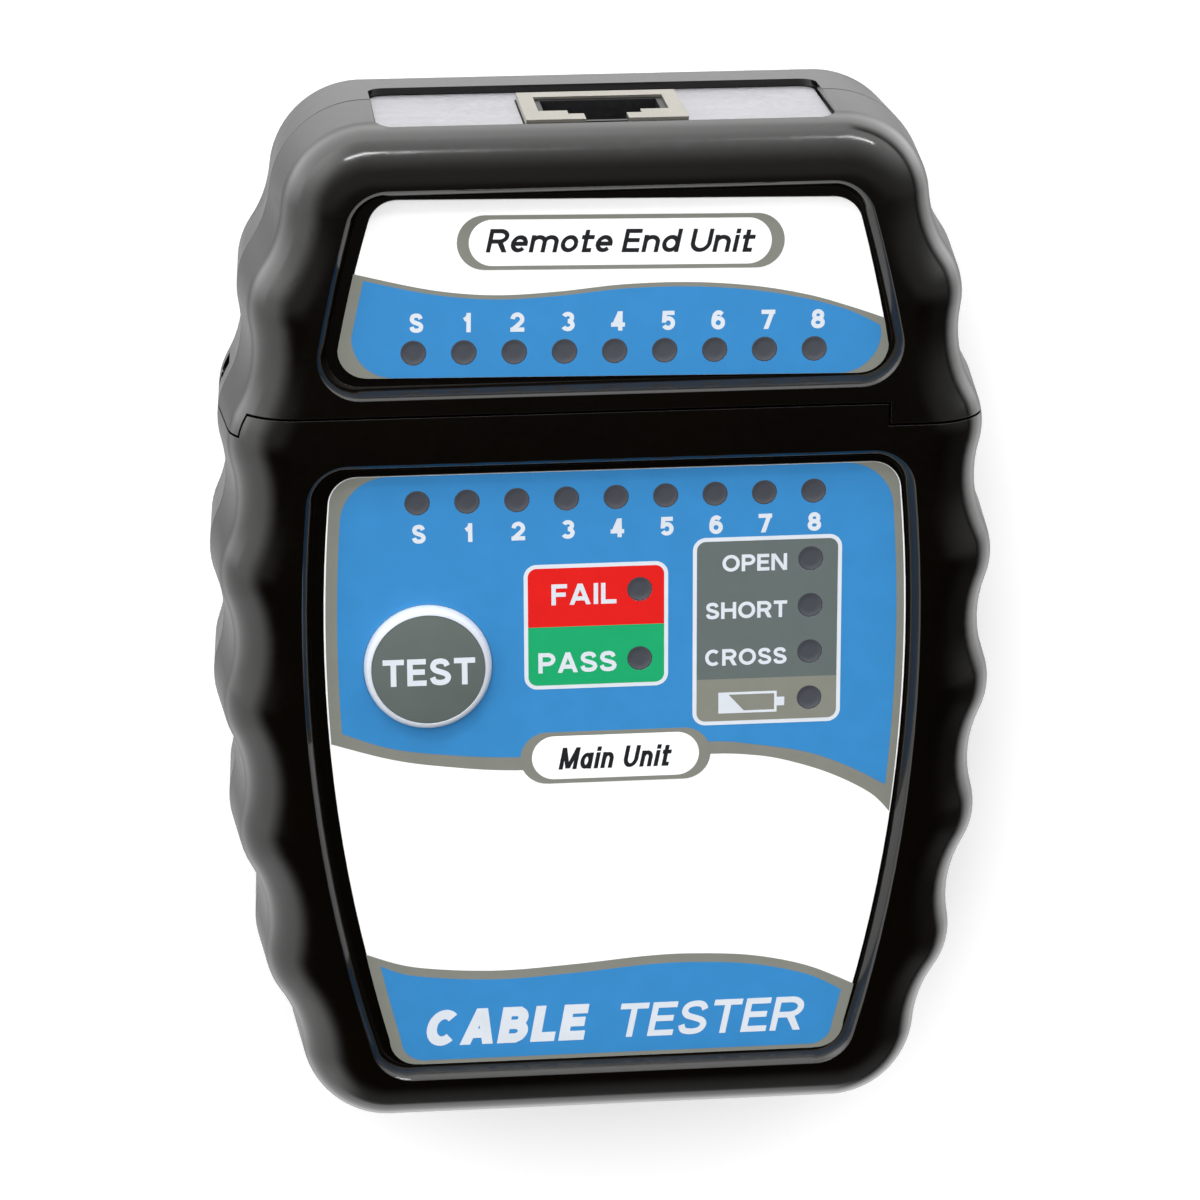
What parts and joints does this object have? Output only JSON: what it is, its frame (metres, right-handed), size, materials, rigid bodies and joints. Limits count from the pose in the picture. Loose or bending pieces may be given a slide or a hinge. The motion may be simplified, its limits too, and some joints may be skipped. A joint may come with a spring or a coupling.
{
  "type": "network cable tester",
  "caption": "Handheld network cable tester: master unit with wire lamps and a TEST button, and a remote terminator with its own lamps and socket that docks on its end.",
  "frame": {"origin": "middle of the case's footprint on its flat back face, with the tester lying on its back", "axes": "+X to the right as the front is read, +Y along the case towards the remote's socket, +Z out of the printed front"},
  "size_m": [0.0816, 0.108, 0.029],
  "materials": {
    "case_black": "glossy moulded black plastic",
    "printed_film": "printed polycarbonate film, blue and white",
    "lamp_window": "smoked window",
    "board_green": "green solder mask",
    "lamp_clear": "diffused epoxy",
    "lamp_red": "red tinted epoxy",
    "lamp_green": "green tinted epoxy",
    "tinned_metal": "tinned leads and pins",
    "shield_nickel": "nickel-plated sheet",
    "socket_black": "moulded black insulator",
    "contact_gold": "gold-plated spring wire",
    "silver_label": "brushed silver label",
    "button_white": "satin white plastic",
    "button_grey": "printed grey disc",
    "switch_black": "moulded black plastic",
    "part_black": "moulded epoxy package",
    "capacitor_blue": "sleeved aluminium can",
    "battery_shell": "painted steel jacket",
    "snap_black": "soft vinyl snap",
    "wire_red": "red insulation",
    "wire_black": "black insulation",
    "screw_steel": "zinc-plated steel",
    "foam_grey": "soft foam"
  },
  "bodies": {
    "main": {"battery_9v": "battery_shell", "battery_snap": "snap_black", "battery_terminals": "tinned_metal", "battery_wire_black": "wire_black", "battery_wire_red": "wire_red", "controller_chip": "part_black", "controller_pins": "tinned_metal", "fail_lamp": "lamp_red", "fault_lamps": "lamp_red", "low_battery_lamp": "lamp_red", "main_board": "board_green", "main_board_screws": "screw_steel", "main_capacitor": "capacitor_blue", "main_case_screws": "screw_steel", "main_front_shell": "case_black", "main_jack_contacts": "contact_gold", "main_jack_housing": "socket_black", "main_jack_shield": "shield_nickel", "main_label": "printed_film", "main_lamp_windows": "lamp_window", "main_rear_shell": "case_black", "main_resistors": "part_black", "main_wire_lamps": "lamp_clear", "pass_lamp": "lamp_green", "test_switch_body": "switch_black"},
    "remote": {"remote_board": "board_green", "remote_board_screws": "screw_steel", "remote_case_screws": "screw_steel", "remote_end_plate": "silver_label", "remote_front_shell": "case_black", "remote_jack_contacts": "contact_gold", "remote_jack_housing": "socket_black", "remote_jack_shield": "shield_nickel", "remote_label": "printed_film", "remote_lamp_leads": "tinned_metal", "remote_lamp_windows": "lamp_window", "remote_rear_shell": "case_black", "remote_resistors": "part_black", "remote_wire_lamps": "lamp_clear"},
    "test_button": {"test_button_cap": "button_white", "test_button_disc": "button_grey", "test_switch_plunger": "switch_black"},
    "battery_door": {"battery_door": "case_black", "battery_foam_pad": "foam_grey"}
  },
  "joints": [
    {"name": "remote_slide", "type": "slide", "parent": "main", "child": "remote", "axis": [1, 0, 0], "range_m": [0, 0.085]},
    {"name": "test_button_press", "type": "slide", "parent": "main", "child": "test_button", "axis": [0, 0, -1], "range_m": [0, 0.0005], "stiffness_N_per_m": 1500, "springref_m": -0.0004},
    {"name": "battery_door_slide", "type": "slide", "parent": "main", "child": "battery_door", "axis": [0, -1, 0], "range_m": [0, 0.038]}
  ]
}
